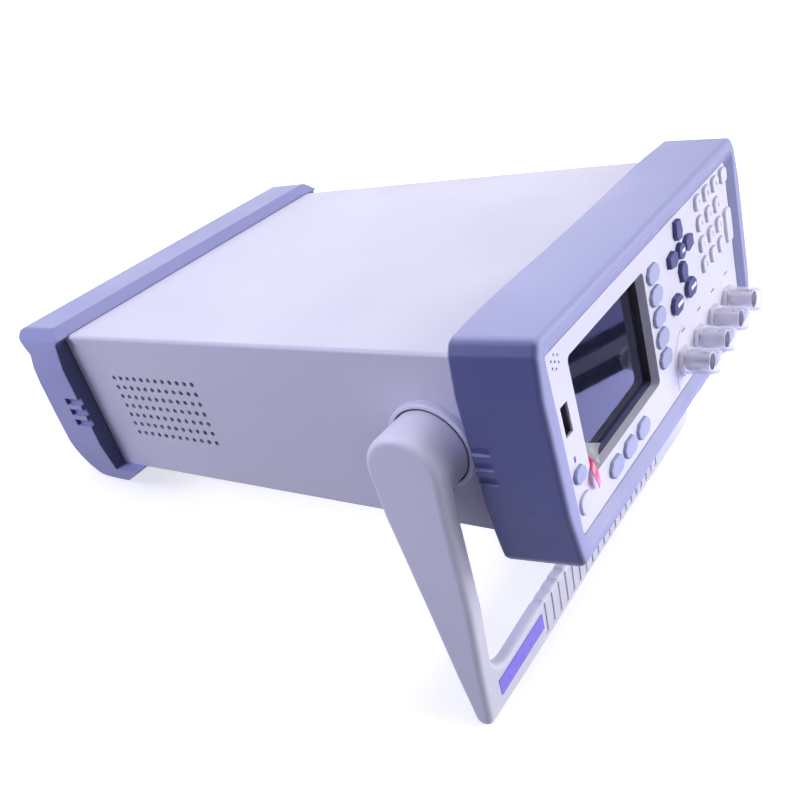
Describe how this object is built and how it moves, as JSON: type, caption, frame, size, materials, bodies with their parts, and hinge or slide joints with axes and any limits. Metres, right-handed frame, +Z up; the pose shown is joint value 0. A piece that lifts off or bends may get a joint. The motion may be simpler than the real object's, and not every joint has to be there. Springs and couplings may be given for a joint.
{
  "type": "bench LCR meter",
  "caption": "Bench test instrument in a half-rack case with soft front and rear bumpers, keypad, display, coaxial terminals and a folding bail handle.",
  "frame": {"origin": "middle of the bottom of the overall box, on the bench surface under the bail's foot and the rear heel", "axes": "+X to the right seen from the front, -Y towards the front panel's side, +Z up; the instrument leans back 19.7 degrees on its bail"},
  "size_m": [0.2652, 0.3534, 0.1997],
  "materials": {
    "case_paint": "satin, fine texture",
    "bumper": "soft matt moulding",
    "bail_plastic": "fine matt",
    "label": "printed film",
    "panel": "satin film",
    "soft_key_grey": "matt silicone",
    "navy_key": "matt silicone",
    "white_key": "matt silicone",
    "display": "glossy, unlit",
    "clear_film": "clear glossy film",
    "cap_clear": "translucent polyethylene",
    "connector_metal": "nickel plate",
    "bare_steel": "zinc plate",
    "black_moulding": "matt",
    "circuit_board": "solder mask",
    "transformer_iron": "varnished laminations"
  },
  "bodies": {
    "instrument": {"case_cover": "case_paint", "chassis_tray": "bare_steel", "rear_panel": "case_paint", "mains_inlet": "black_moulding", "interface_ports": "connector_metal", "ground_post": "connector_metal", "front_bumper": "bumper", "rear_bumper": "bumper", "hub_rings": "bail_plastic", "pivot_screws": "bare_steel", "front_panel": "panel", "lcd_gasket": "black_moulding", "lcd_module": "display", "protective_film": "clear_film", "keypad_board": "circuit_board", "key_switches": "black_moulding", "status_led": "cap_clear", "beeper": "black_moulding", "usb_port": "connector_metal", "bnc_connectors": "connector_metal", "main_board": "circuit_board", "power_transformer": "transformer_iron", "case_screws": "bare_steel"},
    "bail": {"bail_handle": "bail_plastic", "grip_label": "label"},
    "soft_key_1_body": {"soft_key_1": "soft_key_grey"},
    "soft_key_2_body": {"soft_key_2": "soft_key_grey"},
    "soft_key_3_body": {"soft_key_3": "soft_key_grey"},
    "soft_key_4_body": {"soft_key_4": "soft_key_grey"},
    "soft_key_5_body": {"soft_key_5": "soft_key_grey"},
    "menu_key_1_body": {"menu_key_1": "soft_key_grey"},
    "menu_key_2_body": {"menu_key_2": "soft_key_grey"},
    "menu_key_3_body": {"menu_key_3": "soft_key_grey"},
    "up_key_body": {"up_key": "navy_key"},
    "left_key_body": {"left_key": "navy_key"},
    "down_key_body": {"down_key": "navy_key"},
    "right_key_body": {"right_key": "navy_key"},
    "select_key_body": {"select_key": "navy_key"},
    "trigger_key_body": {"trigger_key": "navy_key"},
    "enter_key_body": {"enter_key": "navy_key"},
    "digit_key_11_body": {"digit_key_11": "white_key"},
    "digit_key_12_body": {"digit_key_12": "white_key"},
    "digit_key_13_body": {"digit_key_13": "white_key"},
    "digit_key_21_body": {"digit_key_21": "white_key"},
    "digit_key_22_body": {"digit_key_22": "white_key"},
    "digit_key_23_body": {"digit_key_23": "white_key"},
    "digit_key_31_body": {"digit_key_31": "white_key"},
    "digit_key_32_body": {"digit_key_32": "white_key"},
    "digit_key_33_body": {"digit_key_33": "white_key"},
    "digit_key_41_body": {"digit_key_41": "white_key"},
    "digit_key_42_body": {"digit_key_42": "white_key"},
    "digit_key_43_body": {"digit_key_43": "white_key"},
    "clear_key_body": {"clear_key": "white_key"},
    "tall_key_body": {"tall_key": "white_key"},
    "side_key_body": {"side_key": "soft_key_grey"},
    "power_button_body": {"power_button": "white_key"},
    "bnc_cap_1_body": {"bnc_cap_1": "cap_clear"},
    "bnc_cap_2_body": {"bnc_cap_2": "cap_clear"},
    "bnc_cap_3_body": {"bnc_cap_3": "cap_clear"},
    "bnc_cap_4_body": {"bnc_cap_4": "cap_clear"}
  },
  "joints": [
    {"name": "bail_swing", "type": "hinge", "parent": "instrument", "child": "bail", "pos_m": [0, -0.09445, 0.13261], "axis": [1, 0, 0], "range_deg": [-238, 58]},
    {"name": "soft_key_1_press", "type": "slide", "parent": "instrument", "child": "soft_key_1_body", "axis": [0, 0.9417, -0.3365], "range_m": [0, 0.001], "stiffness_N_per_m": 1200, "springref_m": -0.0004},
    {"name": "soft_key_2_press", "type": "slide", "parent": "instrument", "child": "soft_key_2_body", "axis": [0, 0.9417, -0.3365], "range_m": [0, 0.001], "stiffness_N_per_m": 1200, "springref_m": -0.0004},
    {"name": "soft_key_3_press", "type": "slide", "parent": "instrument", "child": "soft_key_3_body", "axis": [0, 0.9417, -0.3365], "range_m": [0, 0.001], "stiffness_N_per_m": 1200, "springref_m": -0.0004},
    {"name": "soft_key_4_press", "type": "slide", "parent": "instrument", "child": "soft_key_4_body", "axis": [0, 0.9417, -0.3365], "range_m": [0, 0.001], "stiffness_N_per_m": 1200, "springref_m": -0.0004},
    {"name": "soft_key_5_press", "type": "slide", "parent": "instrument", "child": "soft_key_5_body", "axis": [0, 0.9417, -0.3365], "range_m": [0, 0.001], "stiffness_N_per_m": 1200, "springref_m": -0.0004},
    {"name": "menu_key_1_press", "type": "slide", "parent": "instrument", "child": "menu_key_1_body", "axis": [0, 0.9417, -0.3365], "range_m": [0, 0.001], "stiffness_N_per_m": 1200, "springref_m": -0.0004},
    {"name": "menu_key_2_press", "type": "slide", "parent": "instrument", "child": "menu_key_2_body", "axis": [0, 0.9417, -0.3365], "range_m": [0, 0.001], "stiffness_N_per_m": 1200, "springref_m": -0.0004},
    {"name": "menu_key_3_press", "type": "slide", "parent": "instrument", "child": "menu_key_3_body", "axis": [0, 0.9417, -0.3365], "range_m": [0, 0.001], "stiffness_N_per_m": 1200, "springref_m": -0.0004},
    {"name": "up_key_press", "type": "slide", "parent": "instrument", "child": "up_key_body", "axis": [0, 0.9417, -0.3365], "range_m": [0, 0.001], "stiffness_N_per_m": 1200, "springref_m": -0.0004},
    {"name": "left_key_press", "type": "slide", "parent": "instrument", "child": "left_key_body", "axis": [0, 0.9417, -0.3365], "range_m": [0, 0.001], "stiffness_N_per_m": 1200, "springref_m": -0.0004},
    {"name": "down_key_press", "type": "slide", "parent": "instrument", "child": "down_key_body", "axis": [0, 0.9417, -0.3365], "range_m": [0, 0.001], "stiffness_N_per_m": 1200, "springref_m": -0.0004},
    {"name": "right_key_press", "type": "slide", "parent": "instrument", "child": "right_key_body", "axis": [0, 0.9417, -0.3365], "range_m": [0, 0.001], "stiffness_N_per_m": 1200, "springref_m": -0.0004},
    {"name": "select_key_press", "type": "slide", "parent": "instrument", "child": "select_key_body", "axis": [0, 0.9417, -0.3365], "range_m": [0, 0.001], "stiffness_N_per_m": 1200, "springref_m": -0.0004},
    {"name": "trigger_key_press", "type": "slide", "parent": "instrument", "child": "trigger_key_body", "axis": [0, 0.9417, -0.3365], "range_m": [0, 0.001], "stiffness_N_per_m": 1200, "springref_m": -0.0004},
    {"name": "enter_key_press", "type": "slide", "parent": "instrument", "child": "enter_key_body", "axis": [0, 0.9417, -0.3365], "range_m": [0, 0.001], "stiffness_N_per_m": 1200, "springref_m": -0.0004},
    {"name": "digit_key_11_press", "type": "slide", "parent": "instrument", "child": "digit_key_11_body", "axis": [0, 0.9417, -0.3365], "range_m": [0, 0.001], "stiffness_N_per_m": 1200, "springref_m": -0.0004},
    {"name": "digit_key_12_press", "type": "slide", "parent": "instrument", "child": "digit_key_12_body", "axis": [0, 0.9417, -0.3365], "range_m": [0, 0.001], "stiffness_N_per_m": 1200, "springref_m": -0.0004},
    {"name": "digit_key_13_press", "type": "slide", "parent": "instrument", "child": "digit_key_13_body", "axis": [0, 0.9417, -0.3365], "range_m": [0, 0.001], "stiffness_N_per_m": 1200, "springref_m": -0.0004},
    {"name": "digit_key_21_press", "type": "slide", "parent": "instrument", "child": "digit_key_21_body", "axis": [0, 0.9417, -0.3365], "range_m": [0, 0.001], "stiffness_N_per_m": 1200, "springref_m": -0.0004},
    {"name": "digit_key_22_press", "type": "slide", "parent": "instrument", "child": "digit_key_22_body", "axis": [0, 0.9417, -0.3365], "range_m": [0, 0.001], "stiffness_N_per_m": 1200, "springref_m": -0.0004},
    {"name": "digit_key_23_press", "type": "slide", "parent": "instrument", "child": "digit_key_23_body", "axis": [0, 0.9417, -0.3365], "range_m": [0, 0.001], "stiffness_N_per_m": 1200, "springref_m": -0.0004},
    {"name": "digit_key_31_press", "type": "slide", "parent": "instrument", "child": "digit_key_31_body", "axis": [0, 0.9417, -0.3365], "range_m": [0, 0.001], "stiffness_N_per_m": 1200, "springref_m": -0.0004},
    {"name": "digit_key_32_press", "type": "slide", "parent": "instrument", "child": "digit_key_32_body", "axis": [0, 0.9417, -0.3365], "range_m": [0, 0.001], "stiffness_N_per_m": 1200, "springref_m": -0.0004},
    {"name": "digit_key_33_press", "type": "slide", "parent": "instrument", "child": "digit_key_33_body", "axis": [0, 0.9417, -0.3365], "range_m": [0, 0.001], "stiffness_N_per_m": 1200, "springref_m": -0.0004},
    {"name": "digit_key_41_press", "type": "slide", "parent": "instrument", "child": "digit_key_41_body", "axis": [0, 0.9417, -0.3365], "range_m": [0, 0.001], "stiffness_N_per_m": 1200, "springref_m": -0.0004},
    {"name": "digit_key_42_press", "type": "slide", "parent": "instrument", "child": "digit_key_42_body", "axis": [0, 0.9417, -0.3365], "range_m": [0, 0.001], "stiffness_N_per_m": 1200, "springref_m": -0.0004},
    {"name": "digit_key_43_press", "type": "slide", "parent": "instrument", "child": "digit_key_43_body", "axis": [0, 0.9417, -0.3365], "range_m": [0, 0.001], "stiffness_N_per_m": 1200, "springref_m": -0.0004},
    {"name": "clear_key_press", "type": "slide", "parent": "instrument", "child": "clear_key_body", "axis": [0, 0.9417, -0.3365], "range_m": [0, 0.001], "stiffness_N_per_m": 1200, "springref_m": -0.0004},
    {"name": "tall_key_press", "type": "slide", "parent": "instrument", "child": "tall_key_body", "axis": [0, 0.9417, -0.3365], "range_m": [0, 0.001], "stiffness_N_per_m": 1200, "springref_m": -0.0004},
    {"name": "side_key_press", "type": "slide", "parent": "instrument", "child": "side_key_body", "axis": [0, 0.9417, -0.3365], "range_m": [0, 0.001], "stiffness_N_per_m": 1200, "springref_m": -0.0004},
    {"name": "power_button_press", "type": "slide", "parent": "instrument", "child": "power_button_body", "axis": [0, 0.9417, -0.3365], "range_m": [0, 0.001], "stiffness_N_per_m": 1200, "springref_m": -0.0004},
    {"name": "bnc_cap_1_pull", "type": "slide", "parent": "instrument", "child": "bnc_cap_1_body", "axis": [0, -0.9417, 0.3365], "range_m": [0, 0.02]},
    {"name": "bnc_cap_2_pull", "type": "slide", "parent": "instrument", "child": "bnc_cap_2_body", "axis": [0, -0.9417, 0.3365], "range_m": [0, 0.02]},
    {"name": "bnc_cap_3_pull", "type": "slide", "parent": "instrument", "child": "bnc_cap_3_body", "axis": [0, -0.9417, 0.3365], "range_m": [0, 0.02]},
    {"name": "bnc_cap_4_pull", "type": "slide", "parent": "instrument", "child": "bnc_cap_4_body", "axis": [0, -0.9417, 0.3365], "range_m": [0, 0.02]}
  ]
}
